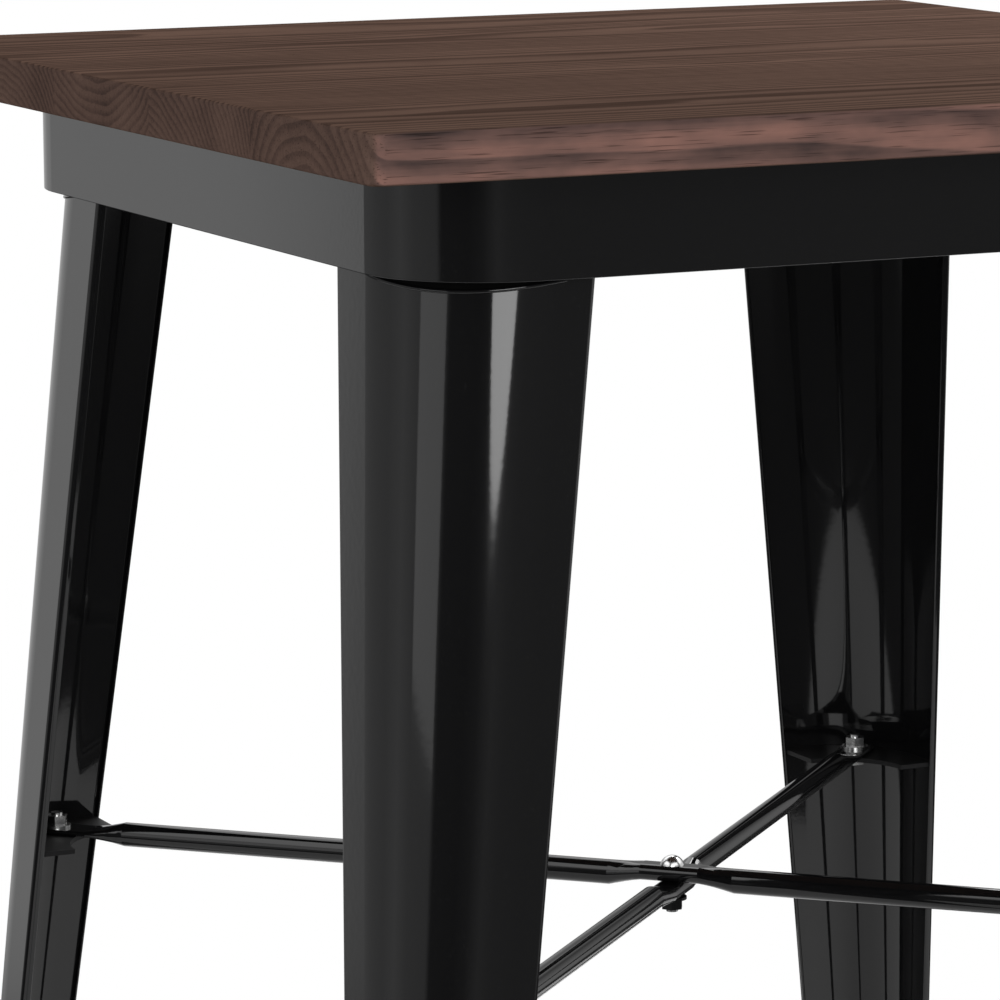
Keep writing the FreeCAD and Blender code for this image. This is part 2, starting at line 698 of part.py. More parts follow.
def make_crossing_fasteners():
    """One round-headed bolt down through both pressed seats."""
    head = f"({UPPER_AXIS} + tube_diameter / 2)"
    washer_top = f"({LOWER_AXIS} - tube_diameter / 2)"
    nut_top = f"({washer_top} - brace_washer_height)"
    nut_bottom = f"({nut_top} - brace_nut_height)"
    finish_node(domed_bolt(("0", "0", head), f"({head} - {nut_bottom} + bolt_proud)"), "crossing_bolt")
    disc = washer(("0", "0", nut_top), "brace_washer", "(brace_bolt + hole_clearance)", "brace_washer_height")
    finish_node(disc, "crossing_washer")
    bore = "(brace_bolt + thread_clearance)"
    finish_node(nut(("0", "0", nut_bottom), "brace_bolt_flats", bore, "brace_nut_height"), "crossing_nut")


for row in range(STAVE_COUNT):
    make_stave(row)
make_apron()
for corner, degrees in CORNERS:
    for make_piece in (make_leg, make_cap, make_gusset, make_glide, make_shelf):
        make_piece(corner, degrees)
make_brace("brace_upper", UPPER_AXIS, 1, -DIAGONAL)
make_brace("brace_lower", LOWER_AXIS, -1, DIAGONAL)
make_top_fasteners()
make_leg_fasteners()
make_brace_fasteners()
make_crossing_fasteners()
doc.recompute()

# Every object sound before anything is written
for item in doc.Objects:
    if "Invalid" in item.State or "Error" in item.State:
        raise RuntimeError(f"{item.Name} ({item.Label}) failed: {item.State}")
for piece in nodes:
    if piece.Shape.isNull() or not piece.Shape.isValid() or not piece.Shape.Solids:
        raise RuntimeError(f"{piece.Label} has no sound shape")
os.makedirs("parts", exist_ok=True)
for piece in nodes:
    piece.Shape.exportStep(f"parts/{piece.Label}.step")
    print(f"{piece.Label}: {len(piece.Shape.Solids)} solid(s), {piece.Shape.Volume / 1000:.2f} cm3")
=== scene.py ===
# %% [markdown]
# # A bar table in walnut-stained wood and black steel
#
# This lesson dresses a table whose pieces already exist as solid parts: five glued boards,
# a pressed steel apron, four folded legs, two crossed braces and their fasteners. Loading
# them gives one object per piece, in metres, standing on the floor at the origin.

# %% Load the table's pieces
import math

import bpy
from mathutils import Matrix, Vector


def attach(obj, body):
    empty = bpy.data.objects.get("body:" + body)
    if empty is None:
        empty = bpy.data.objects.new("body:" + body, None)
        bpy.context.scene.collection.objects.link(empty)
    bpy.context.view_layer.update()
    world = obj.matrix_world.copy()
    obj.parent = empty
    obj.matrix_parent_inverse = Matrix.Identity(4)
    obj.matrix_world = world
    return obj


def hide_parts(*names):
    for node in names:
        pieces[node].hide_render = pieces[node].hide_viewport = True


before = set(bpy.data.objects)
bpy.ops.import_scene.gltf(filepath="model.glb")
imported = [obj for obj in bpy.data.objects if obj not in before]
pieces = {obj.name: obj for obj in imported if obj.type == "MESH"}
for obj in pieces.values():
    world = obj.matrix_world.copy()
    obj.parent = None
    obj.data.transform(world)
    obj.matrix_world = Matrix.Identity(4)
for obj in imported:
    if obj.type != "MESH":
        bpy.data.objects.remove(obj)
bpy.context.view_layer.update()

scene = bpy.context.scene

# %% [markdown]
# ## The camera
#
# The photograph was taken from a little above the table top with a long lens, so the
# table's edges run almost parallel. A long lens far away is the way to get that calm look;
# a short lens close by would make the near corner bulge. The camera is turned in three
# steps: tipped down, swung round the table, and rolled by a hair.

# %% Place the camera
CAMERA_PLACE = Vector((-1.2185, -2.3571, 1.2307))
CAMERA_SWING = math.radians(-25.454)
CAMERA_TIP = math.radians(9.391)
CAMERA_ROLL = math.radians(0.276)
LENS_MM = 191.34
SENSOR_MM = 36.0

camera_data = bpy.data.cameras.new("photo_camera")
camera_data.sensor_width = SENSOR_MM
camera_data.lens = LENS_MM
camera = bpy.data.objects.new("photo_camera", camera_data)
scene.collection.objects.link(camera)
swing = Matrix.Rotation(CAMERA_SWING, 4, "Z")
tip = Matrix.Rotation(math.pi / 2 - CAMERA_TIP, 4, "X")
roll = Matrix.Rotation(-CAMERA_ROLL, 4, "Z")
camera.matrix_world = Matrix.Translation(CAMERA_PLACE) @ swing @ tip @ roll
scene.camera = camera
scene.view_settings.view_transform = "Standard"
print(f"camera {CAMERA_PLACE.length:.2f} m from the origin, {LENS_MM} mm lens")

# %% [markdown]
# ## Helpers for nodes
#
# Every finish below is a tree of shader nodes. Adding a node, setting its options and
# wiring its inputs is the same three moves each time, so two helpers do them. An input
# that is given another node's socket is linked, and any other value is simply set. The
# kinds of node that come back often have a short helper of their own.

# %% Helpers: add and wire nodes
MIX_FACTOR = 0
MIX_FIRST_COLOUR = 6
MIX_SECOND_COLOUR = 7
MIX_COLOUR = 2


def wire(tree, node, inputs):
    """Link or set a node's inputs."""
    for name, value in inputs.items():
        socket = node.inputs[name]
        if isinstance(value, bpy.types.NodeSocket):
            tree.links.new(value, socket)
        else:
            socket.default_value = value


def add(tree, kind, inputs=None, **options):
    """New node of a kind, with its options set and its inputs wired."""
    made = tree.nodes.new(kind)
    for name, value in options.items():
        setattr(made, name, value)
    wire(tree, made, inputs or {})
    return made


def calc(tree, operation, *values):
    """Output of a Math node."""
    return add(tree, "ShaderNodeMath", dict(enumerate(values)), operation=operation).outputs[0]


def scaled(tree, vector, factors):
    """A coordinate stretched by a factor along each axis."""
    return add(tree, "ShaderNodeVectorMath", {0: vector, 1: factors}, operation="MULTIPLY").outputs[0]


def noise(tree, vector, scale, detail, roughness=0.5):
    """Grey value of a Noise texture."""
    inputs = {"Vector": vector, "Scale": scale, "Detail": detail, "Roughness": roughness}
    return add(tree, "ShaderNodeTexNoise", inputs).outputs["Fac"]


def stretch(tree, value, low, high):
    """A value's range from low to high moved to 0 and 1, with soft ends."""
    inputs = {"Value": value, "From Min": low, "From Max": high}
    return add(tree, "ShaderNodeMapRange", inputs, interpolation_type="SMOOTHSTEP").outputs["Result"]


def ramp(tree, value, stops):
    """Colour ramp with (position, colour) stops."""
    made = add(tree, "ShaderNodeValToRGB", {"Fac": value})
    elements = made.color_ramp.elements
    while len(elements) < len(stops):
        elements.new(1.0)
    for element, (position, colour) in zip(elements, stops):
        element.position = position
        element.color = (*colour, 1.0)
    return made.outputs["Color"]


def blend(tree, factor, first, second):
    """Two colours mixed."""
    inputs = {MIX_FACTOR: factor, MIX_FIRST_COLOUR: first, MIX_SECOND_COLOUR: second}
    return add(tree, "ShaderNodeMix", inputs, data_type="RGBA").outputs[MIX_COLOUR]


def raised(tree, height, strength, depth):
    """Normal of a surface with a height laid on it."""
    inputs = {"Height": height, "Strength": strength, "Distance": depth}
    return add(tree, "ShaderNodeBump", inputs).outputs["Normal"]


print("node helpers ready")

# %% [markdown]
# ## Helpers for groups and materials
#
# An effect that several finishes share is kept in a node group with named sockets. A
# finish is a material with one Principled shader: it places the groups that it needs,
# each with its own values, and is then put on the pieces that wear it.

# %% Helpers: groups and materials
def new_group(name, inputs, outputs):
    """Empty shader node group with named number sockets, and its two end nodes."""
    group = bpy.data.node_groups.new(name, "ShaderNodeTree")
    for label, value in inputs.items():
        socket = group.interface.new_socket(label, in_out="INPUT", socket_type="NodeSocketFloat")
        socket.default_value = value
    for label in outputs:
        group.interface.new_socket(label, in_out="OUTPUT", socket_type="NodeSocketFloat")
    return group, add(group, "NodeGroupInput"), add(group, "NodeGroupOutput")


def place_group(tree, group, values):
    """A group placed in a material with its own values."""
    return add(tree, "ShaderNodeGroup", values, node_tree=group)


def new_material(name):
    """Material with an empty tree, its Principled shader wired to the output."""
    material = bpy.data.materials.new(name)
    material.use_nodes = True
    tree = material.node_tree
    tree.nodes.clear()
    shader = add(tree, "ShaderNodeBsdfPrincipled")
    add(tree, "ShaderNodeOutputMaterial", {"Surface": shader.outputs["BSDF"]})
    return material, tree, shader


def dress(names, material):
    """Give CAD pieces a material in place of what they came with."""
    for name in names:
        slots = pieces[name].data.materials
        slots.clear()
        slots.append(material)


print("material helpers ready")

# %% [markdown]
# ## The studio
#
# Glossy black paint has almost no colour of its own: what we see on it is the room. The
# room here is a studio with bright walls behind the table and to its right, a grey one to
# its left, a dark side behind the camera, a pale ceiling and dark ground. A ramp by compass
# direction makes the walls in the world shader. Each row gives a bearing in degrees, counted
# from the X axis towards the Y axis, and how bright the room is there. The levels go in at
# half their value, and the strength of the room doubles them again.

# %% Make the room
ROOM_STRENGTH = 2.0
CEILING = (1.0, 1.0, 1.0, 1.0)
CEILING_RISE = (0.3, 0.55)
GROUND = (0.03, 0.03, 0.03, 1.0)
GROUND_RISE = (-0.26, -0.19)
ROOM = [
    (-180, 0.48), (-158, 0.43), (-154, 0.08), (-130, 0.06), (-118, 0.1), (-105, 0.26),
    (-92, 0.2), (-64, 0.17), (-45, 0.2), (-25, 0.9), (15, 0.9), (30, 0.2),
    (55, 0.18), (70, 0.6), (100, 0.68), (111, 0.72), (113.8, 0.88), (114.1, 0.3),
    (130, 0.35), (150, 0.43), (166, 0.62), (174, 0.55), (180, 0.48),
]

world = bpy.data.worlds.new("pale_studio")
scene.world = world
world.use_nodes = True
air = world.node_tree
air.nodes.clear()
direction = add(air, "ShaderNodeTexCoord").outputs["Generated"]
parts = add(air, "ShaderNodeSeparateXYZ", {"Vector": direction})
bearing = calc(air, "ARCTAN2", parts.outputs["Y"], parts.outputs["X"])
compass = calc(air, "MULTIPLY_ADD", bearing, 1 / math.tau, 0.5)
room_stops = [((az + 180) / 360, (level / ROOM_STRENGTH,) * 3) for az, level in ROOM]
walls = ramp(air, compass, room_stops)
above_ground = stretch(air, parts.outputs["Z"], *GROUND_RISE)
overhead = stretch(air, parts.outputs["Z"], *CEILING_RISE)
ground_and_walls = blend(air, above_ground, GROUND, walls)
whole_room = blend(air, overhead, ground_and_walls, CEILING)
print(f"room of {len(ROOM)} bearings")

# %% [markdown]
# The room is only there to be mirrored. The camera sees plain white around the table, as
# in the photograph, and the light that falls on rough surfaces is an even soft fill. The
# Light Path node tells which kind of ray is asking.

# %% Choose what each ray sees
WHITE = (1.0, 1.0, 1.0, 1.0)
FILL_STRENGTH = 0.6
BACKDROP_STRENGTH = 1.0


def background(colour, strength):
    """Light from all round, in one colour or in the colours of the room."""
    return add(air, "ShaderNodeBackground", {"Color": colour, "Strength": strength}).outputs[0]


def choose(switch, off, on):
    """One of two lights, by a switch."""
    return add(air, "ShaderNodeMixShader", {0: switch, 1: off, 2: on}).outputs[0]


rays = add(air, "ShaderNodeLightPath").outputs
mirror_or_glass = calc(air, "MAXIMUM", rays["Is Glossy Ray"], rays["Is Transmission Ray"])
fill = background(WHITE, FILL_STRENGTH)
seen = choose(mirror_or_glass, fill, background(whole_room, ROOM_STRENGTH))
sky = choose(rays["Is Camera Ray"], seen, background(WHITE, BACKDROP_STRENGTH))
add(air, "ShaderNodeOutputWorld", {"Surface": sky})
print(f"world of {len(air.nodes)} nodes")

# %% [markdown]
# ## The floor
#
# The floor is a pale disc that catches the table's shadow. It is kept small, so that the
# paint mirrors the studio walls and not an endless white floor.

# %% Make the floor
FLOOR_RADIUS = 1.5
FLOOR_DROP = 0.0005
FLOOR_SIDES = 96
FLOOR_COLOUR = (0.86, 0.86, 0.86, 1.0)
FLOOR_ROUGHNESS = 0.9

disc = bpy.data.meshes.new("studio_floor")
rim = []
for step in range(FLOOR_SIDES):
    angle = math.tau * step / FLOOR_SIDES
    rim.append((FLOOR_RADIUS * math.cos(angle), FLOOR_RADIUS * math.sin(angle), -FLOOR_DROP))
disc.from_pydata(rim, [], [list(range(FLOOR_SIDES))])
floor = bpy.data.objects.new("studio_floor", disc)
scene.collection.objects.link(floor)
floor_paint, floor_tree, floor_shader = new_material("pale_floor")
wire(floor_tree, floor_shader, {"Base Color": FLOOR_COLOUR, "Roughness": FLOOR_ROUGHNESS})
disc.materials.append(floor_paint)
print(f"floor radius {FLOOR_RADIUS} m")

# %% [markdown]
# ## The lamps
#
# Three lamps add shape: a big round one behind the camera, which draws the bright stripe
# down the near leg, a weak panel far to the left, which draws the grey band beside it, and
# a soft box above the back of the table on the right, which makes the wood lighter there.
# Each row gives a lamp's name, shape, place, target, width, height and radiance.

# %% Make the lamps
LAMPS = [
    ("stripe_disc", "ELLIPSE", (-1.72, -4.16, 2.02), (-0.23, -0.23, 2.02), 2.1, 2.1, 6.0),
    ("band_panel", "RECTANGLE", (-4.14, -1.06, 1.44), (-0.23, -0.23, 1.44), 1.6, 1.5, 0.8),
    ("back_box", "RECTANGLE", (0.8, 0.6, 2.2), (0, 0, 1.0), 1.2, 1.2, 5.6),
]


def soft_box(name, shape, place, target, width, height, radiance):
    """Flat lamp; its power follows from its size and how bright its face looks."""
    lamp = bpy.data.lights.new(name, "AREA")
    lamp.shape = shape
    lamp.size = width
    lamp.size_y = height
    share = math.pi / 4 if shape == "ELLIPSE" else 1.0
    lamp.energy = math.pi * share * width * height * radiance
    holder = bpy.data.objects.new(name, lamp)
    scene.collection.objects.link(holder)
    aim = (Vector(target) - Vector(place)).to_track_quat("-Z", "Y")
    holder.matrix_world = Matrix.Translation(place) @ aim.to_matrix().to_4x4()


for lamp_row in LAMPS:
    soft_box(*lamp_row)
print(f"{len(LAMPS)} lamps")

# %% [markdown]
# ## Wood that is the same all the way through
#
# A board shows long lines on its face, arches on a flat-sawn edge and curved rings on its
# end, and all three are one thing: the rings of the tree cut in different directions. A
# picture of wood could not wrap round the corners like that, so the rings are worked out
# in space. Each point of the board has a distance from the pith of its tree; that distance,
# wobbled a little, gives the ring that the point lies in. The group takes the place of the
# pith and the ring width, so every stave can come from its own tree.

# %% Node group: rings of one stave
WOBBLE_ACROSS = ((2.6, 14.0, 14.0), 0.022)
WOBBLE_HEIGHT = ((3.4, 17.0, 17.0), 0.014)
WOBBLE_DETAIL = 2.0
LATE_WOOD = (0.25, 0.8)
FRESH_START = (0.9, 1.0)

TREE_DEFAULTS = {
    "Pith Across": 0.0,
    "Pith Height": 1.0,
    "Lean Across": 0.0,
    "Lean Height": 0.0,
    "Ring Width": 0.004,
    "Seed": 0.0,
}
FIGURE_PARTS = ("Ring", "Fibre", "Pore", "Cloud", "Blotch")
figure, figure_in, figure_out = new_group("stave_figure", TREE_DEFAULTS, FIGURE_PARTS)
tree_value = figure_in.outputs
place_in_board = add(figure, "ShaderNodeTexCoord").outputs["Object"]
seed_shift = add(figure, "ShaderNodeCombineXYZ", {"X": tree_value["Seed"]}).outputs[0]
spot = add(figure, "ShaderNodeVectorMath", {0: place_in_board, 1: seed_shift}, operation="ADD").outputs[0]
xyz = add(figure, "ShaderNodeSeparateXYZ", {"Vector": place_in_board}).outputs


def grain(factors, detail, roughness=0.5):
    """Noise in the board, stretched by a factor along each axis."""
    return noise(figure, scaled(figure, spot, factors), 1.0, detail, roughness)


def from_pith(axis, place, lean, factors, wobble):
    """Distance from the pith along one axis, with a lean along the board and a wobble."""
    centre = calc(figure, "MULTIPLY_ADD", xyz["X"], tree_value[lean], tree_value[place])
    straight = calc(figure, "SUBTRACT", xyz[axis], centre)
    wave = calc(figure, "MULTIPLY_ADD", grain(factors, WOBBLE_DETAIL), wobble, -wobble / 2)
    return calc(figure, "ADD", straight, wave)


gap_y = from_pith("Y", "Pith Across", "Lean Across", *WOBBLE_ACROSS)
gap_z = from_pith("Z", "Pith Height", "Lean Height", *WOBBLE_HEIGHT)
squares = [calc(figure, "MULTIPLY", gap, gap) for gap in (gap_y, gap_z)]
distance = calc(figure, "SQRT", calc(figure, "ADD", *squares))
year = calc(figure, "DIVIDE", distance, tree_value["Ring Width"])
season = calc(figure, "FRACT", year)
late_wood = stretch(figure, season, *LATE_WOOD)
fresh_start = stretch(figure, season, *FRESH_START)
ring = calc(figure, "SUBTRACT", late_wood, fresh_start)
print(f"rings: {len(figure.nodes)} nodes")

# %% [markdown]
# Fine noise, stretched along the board, adds fibres and open pores. Two coarser noises
# make the slow clouds of a stained face and the short blotches of a sawn edge.

# %% Node group: fibres, pores and clouds
FIBRE_GRAIN = (7.0, 420.0, 420.0)
FIBRE_DETAIL = 3.0
FIBRE_ROUGHNESS = 0.6
PORE_GRAIN = (38.0, 1500.0, 1500.0)
PORE_DETAIL = 1.0
PORE_EDGE = (0.6, 0.74)
CLOUD_GRAIN = (5.0, 16.0, 16.0)
BLOTCH_GRAIN = (26.0, 26.0, 60.0)
CLOUD_DETAIL = 3.0

fibre = grain(FIBRE_GRAIN, FIBRE_DETAIL, FIBRE_ROUGHNESS)
pore = stretch(figure, grain(PORE_GRAIN, PORE_DETAIL), *PORE_EDGE)
cloud = grain(CLOUD_GRAIN, CLOUD_DETAIL)
blotch = grain(BLOTCH_GRAIN, CLOUD_DETAIL)
wire(figure, figure_out, dict(zip(FIGURE_PARTS, (ring, fibre, pore, cloud, blotch))))
print(f"stave figure: {len(figure.nodes)} nodes")

# %% [markdown]
# ## Stain on the staves
#
# The boards are stained dark walnut. Open pores drink the most stain and turn nearly
# black; the sawn long edge keeps a lighter, redder tone; the end grain is dark and even.
# Each of the three kinds of face has a ramp of stain colours and its own shares of the
# figure. The shares add up, from a start value, to the tone that the ramp turns into colour.

# %% Stain tones
FACE_STAIN = [
    (0.0, (0.134, 0.082, 0.062)),
    (0.45, (0.077, 0.0475, 0.0365)),
    (1.0, (0.022, 0.013, 0.010)),
]
FACE_SHARES = {"Ring": 0.36, "Fibre": 0.55, "Cloud": 0.4}
FACE_START = -0.16
EDGE_STAIN = [
    (0.0, (0.260, 0.138, 0.112)),
    (0.5, (0.150, 0.088, 0.075)),
    (1.0, (0.052, 0.037, 0.035)),
]
EDGE_SHARES = {"Ring": 0.45, "Fibre": 0.45, "Blotch": 1.3}
EDGE_START = -0.6
END_STAIN = [
    (0.0, (0.135, 0.086, 0.068)),
    (0.5, (0.096, 0.0605, 0.049)),
    (1.0, (0.045, 0.030, 0.026)),
]
END_SHARES = {"Ring": 0.3, "Fibre": 0.6, "Cloud": 1.2}
END_START = -0.52


def stain_tone(tree, figure_parts, stops, shares, start):
    """Stain colour of one kind of face."""
    tone = start
    for label, share in shares.items():
        tone = calc(tree, "MULTIPLY_ADD", figure_parts[label], share, tone)
    return ramp(tree, tone, stops)


print("stain tones ready")

# %% [markdown]
# ## The five boards
#
# The face that a point lies on comes from the surface normal, so one material serves all
# faces of a stave. The lacquer is rubbed dull and leaves the pores slightly sunk. Seen as
# low as in the photograph, even a weak shine would lay a grey haze over the stain, so the
# mirror part of the shader is switched off. Each row below is one stave: its name, where
# the pith of its tree lies, how the pith leans along the board, its ring width and its seed.

# %% Materials of the five staves
FACING = (0.5, 0.9)
PORE_COLOUR = (0.012, 0.008, 0.007, 1.0)
PORE_SHARE = 0.6
BOARD_ROUGHNESS = 0.5
RING_DULLING = 0.08
PORE_DULLING = 0.2
FIBRE_HEIGHT = 0.3
GRAIN_STRENGTH = 0.35
GRAIN_DEPTH = 0.0002
NO_SHINE = 0.0
STAVE_TREES = [
    ("stave_one_walnut", (-0.22, 0.965), (0.02, 0.0), 0.0065, 3.1),
    ("stave_two_walnut", (-0.02, 0.93), (0.012, 0.01), 0.0042, 17.7),
    ("stave_three_walnut", (0.02, 1.09), (-0.014, 0.0), 0.0046, 31.9),
    ("stave_four_walnut", (0.16, 0.94), (0.01, 0.012), 0.0038, 44.3),
    ("stave_five_walnut", (0.25, 1.1), (-0.01, 0.01), 0.0044, 58.6),
]


def stained_wood(name, pith, lean, ring_width, seed):
    """Walnut-stained stave cut from its own tree."""
    material, tree, shader = new_material(name)
    tree_values = dict(zip(TREE_DEFAULTS, (*pith, *lean, ring_width, seed)))
    wood = place_group(tree, figure, tree_values).outputs
    face = stain_tone(tree, wood, FACE_STAIN, FACE_SHARES, FACE_START)
    edge = stain_tone(tree, wood, EDGE_STAIN, EDGE_SHARES, EDGE_START)
    end = stain_tone(tree, wood, END_STAIN, END_SHARES, END_START)
    upright = add(tree, "ShaderNodeTexCoord").outputs["Normal"]
    normal = add(tree, "ShaderNodeSeparateXYZ", {"Vector": upright}).outputs
    on_edge = stretch(tree, calc(tree, "ABSOLUTE", normal["Y"]), *FACING)
    on_end = stretch(tree, calc(tree, "ABSOLUTE", normal["X"]), *FACING)
    stain = blend(tree, on_end, blend(tree, on_edge, face, edge), end)
    dark_pore = calc(tree, "MULTIPLY", wood["Pore"], PORE_SHARE)
    ring_roughness = calc(tree, "MULTIPLY_ADD", wood["Ring"], RING_DULLING, BOARD_ROUGHNESS)
    relief = calc(tree, "SUBTRACT", calc(tree, "MULTIPLY", wood["Fibre"], FIBRE_HEIGHT), wood["Pore"])
    wire(tree, shader, {
        "Base Color": blend(tree, dark_pore, stain, PORE_COLOUR),
        "Roughness": calc(tree, "MULTIPLY_ADD", wood["Pore"], PORE_DULLING, ring_roughness),
        "Normal": raised(tree, relief, GRAIN_STRENGTH, GRAIN_DEPTH),
        "Specular IOR Level": NO_SHINE,
    })
    return material


for count, stave_tree in enumerate(STAVE_TREES, start=1):
    dress([f"top_stave_{count}"], stained_wood(*stave_tree))
print(f"{len(STAVE_TREES)} staves stained")

# %% [markdown]
# ## A group for baked and plated skins
#
# Sprayed powder flows as it bakes, and leaves a faint ripple called orange peel; plating
# and rubber have fine unevenness too. One group gives both: a ripple height for the bump
# and a slow mottle for the colour and the roughness, with a few small specks of dust. Each
# finish places it at its own scale.

# %% Node group: ripple, mottle and specks
RIPPLE_DETAIL = 1.0
MOTTLE_DETAIL = 3.0
SPECK_SCALE = 900.0
SPECK_DETAIL = 0.0
SPECK_EDGE = (0.74, 0.8)

SKIN_DEFAULTS = {"Ripple Scale": 400.0, "Mottle Scale": 18.0}
skin, skin_in, skin_out = new_group("fine_skin", SKIN_DEFAULTS, ("Ripple", "Mottle", "Speck"))
skin_spot = add(skin, "ShaderNodeTexCoord").outputs["Object"]
dust = noise(skin, skin_spot, SPECK_SCALE, SPECK_DETAIL)
wire(skin, skin_out, {
    "Ripple": noise(skin, skin_spot, skin_in.outputs["Ripple Scale"], RIPPLE_DETAIL),
    "Mottle": noise(skin, skin_spot, skin_in.outputs["Mottle Scale"], MOTTLE_DETAIL),
    "Speck": stretch(skin, dust, *SPECK_EDGE),
})
print(f"fine skin: {len(skin.nodes)} nodes")

# %% [markdown]
# ## Black powder coat
#
# The frame is pressed and folded from sheet steel, welded, and powder coated in glossy
# black. The colour is nearly black and even; what gives it life is a mirror finish that
# the orange peel breaks up a little, with a few dust specks that were baked in. The shelves
# and caps inside the legs get a duller coat, because they show no bright reflections.

# %% Materials of the steel frame
CORNERS = ("near", "right", "back", "left")
COAT_BLACK = (0.004, 0.004, 0.0043, 1.0)
DUST_GREY = (0.02, 0.02, 0.02, 1.0)
DUST_SHARE = 0.25
COAT_MOTTLE_SCALE = 14.0
COAT_DULLING = 0.03
PEEL_STRENGTH = 0.5


def powder_coat(name, ripple_scale, ripple_depth, roughness, shine=0.5):
    """Black baked coating."""
    material, tree, shader = new_material(name)
    scales = {"Ripple Scale": ripple_scale, "Mottle Scale": COAT_MOTTLE_SCALE}
    coat = place_group(tree, skin, scales).outputs
    dusty = calc(tree, "MULTIPLY", coat["Speck"], DUST_SHARE)
    wire(tree, shader, {
        "Base Color": blend(tree, dusty, COAT_BLACK, DUST_GREY),
        "Roughness": calc(tree, "MULTIPLY_ADD", coat["Mottle"], COAT_DULLING, roughness),
        "Normal": raised(tree, coat["Ripple"], PEEL_STRENGTH, ripple_depth),
        "Specular IOR Level": shine,
    })
    return material


def at_corners(name):
    """Names of the pieces that are there once at each corner."""
    return [f"{name}_{corner}" for corner in CORNERS]


leg_coat = powder_coat("leg_powder_coat", ripple_scale=260.0, ripple_depth=0.000012, roughness=0.045)
apron_coat = powder_coat("apron_powder_coat", ripple_scale=420.0, ripple_depth=0.00002, roughness=0.05)
inner_coat = powder_coat(
    "inner_powder_coat", ripple_scale=420.0, ripple_depth=0.00004, roughness=0.5, shine=0.2
)
dress(["brace_upper", "brace_lower"], leg_coat)
dress(["apron_frame"] + at_corners("apron_gusset"), apron_coat)
dress(at_corners("brace_shelf") + at_corners("leg_cap"), inner_coat)
print("steel coated")

# %% [markdown]
# ## Legs with true curves
#
# A mirror finish shows every flat of a coarse mesh as a kink in its reflections. Each leg
# is one folded sheet whose section only changes in size from foot to top, so it can be
# drawn exactly: arcs and straight lines in plan, joined by straight lines up the leg. We
# also give each corner of a face the direction that the true surface faces there, so that
# reflections run smoothly round the bend. The new sheets stand in for the solid legs. All
# legs are drawn at the back corner and then turned to their own.

# %% Draw the leg section
RIM_HEIGHT = 0.9424
LEG_FOOT = 0.004
LEG_TOP = 0.9724
RIM_HALF = 0.2501
LEG_SPLAY = 0.063
FOOT_WIDTH = 0.026
SIDE_WIDTH = 0.1013
FRONT_WIDTH = 0.0832
FOOT_ROUND = 0.018
RIM_ROUND = 0.0678
SHEET = 0.0015
FOLD = 0.0015
LIP = 0.005
LIP_STEPS = 6
FOLD_STEPS = 6
ROUND_STEPS = 40


def along(low, high, height):
    """A leg size that grows evenly from the floor to the apron rim."""
    return low + (high - low) * height / RIM_HEIGHT


def bend(centre, radius, start, end, steps):
    """Points of an arc, each with the direction that it faces."""
    made = []
    for step in range(steps + 1):
        angle = math.radians(start + (end - start) * step / steps)
        facing = Vector((math.cos(angle), math.sin(angle), 0))
        made.append((Vector(centre) + radius * facing, facing))
    return made


def leg_line(corner, height, inset):
    """One skin of the sheet at a height, from lip to lip, as points with their facings."""
    half = RIM_HALF + LEG_SPLAY * (RIM_HEIGHT - height)
    widths = [along(FOOT_WIDTH, top, height) for top in (FRONT_WIDTH, SIDE_WIDTH)]
    if corner in ("left", "right"):
        widths.reverse()
    low_x, low_y = (half - width + inset for width in widths)
    high = half - inset
    lip = half - LIP + SHEET / 2
    fold = FOLD + SHEET - inset
    large = along(FOOT_ROUND, RIM_ROUND, height) - inset
    line = [(Vector((low_x, lip, height)), Vector((-1, 0, 0)))]
    line += bend((low_x + fold, high - fold, height), fold, 180, 90, FOLD_STEPS)
    line += bend((high - large, high - large, height), large, 90, 0, ROUND_STEPS)
    line += bend((high - fold, low_y + fold, height), fold, 0, -90, FOLD_STEPS)
    line.append((Vector((lip, low_y, height)), Vector((0, -1, 0))))
    return line


print(f"{len(leg_line('near', RIM_HEIGHT, 0.0))} points on each skin of a leg")

# %% [markdown]
# The outer skin runs from lip to lip, a half round turns the edge of the lip, and the inner
# skin runs back to another half round, which closes the ring. Rings at several heights are
# joined by four-sided faces, and the two ends are capped.

# %% Join the rings of a leg
LEG_STEPS = 12


def leg_ring(corner, height):
    """Closed outline of the sheet at a height, as points with their facings."""
    outer = leg_line(corner, height, 0.0)
    inner = [(point, -facing) for point, facing in leg_line(corner, height, SHEET)]
    front_edge = bend((outer[-1][0] + inner[-1][0]) / 2, SHEET / 2, 270, 90, LIP_STEPS)
    back_edge = bend((outer[0][0] + inner[0][0]) / 2, SHEET / 2, 360, 180, LIP_STEPS)
    return outer + front_edge[1:-1] + inner[::-1] + back_edge[1:-1]


def leg_sheet(corner):
    """Mesh of one leg as vertices, faces and one normal for each corner of each face."""
    heights = [LEG_FOOT + (LEG_TOP - LEG_FOOT) * step / LEG_STEPS for step in range(LEG_STEPS + 1)]
    rings = [leg_ring(corner, height) for height in heights]
    vertices = [point for ring_points in rings for point, _ in ring_points]
    facings = []
    for (low, facing), (high, _) in zip(rings[0], rings[-1]):
        across = Vector((-facing.y, facing.x, 0))
        facings.append(across.cross(high - low).normalized())
    around = len(facings)
    faces = []
    normals = []
    for step in range(LEG_STEPS):
        low = step * around
        high = low + around
        for first in range(around):
            second = (first + 1) % around
            faces.append((low + first, high + first, high + second, low + second))
            normals += [facings[first], facings[first], facings[second], facings[second]]
    foot = list(range(around))
    faces += [foot, [LEG_STEPS * around + item for item in reversed(foot)]]
    normals += [Vector((0, 0, -1))] * around + [Vector((0, 0, 1))] * around
    return vertices, faces, normals


print(f"{len(leg_ring('near', RIM_HEIGHT))} points round the sheet of a leg")
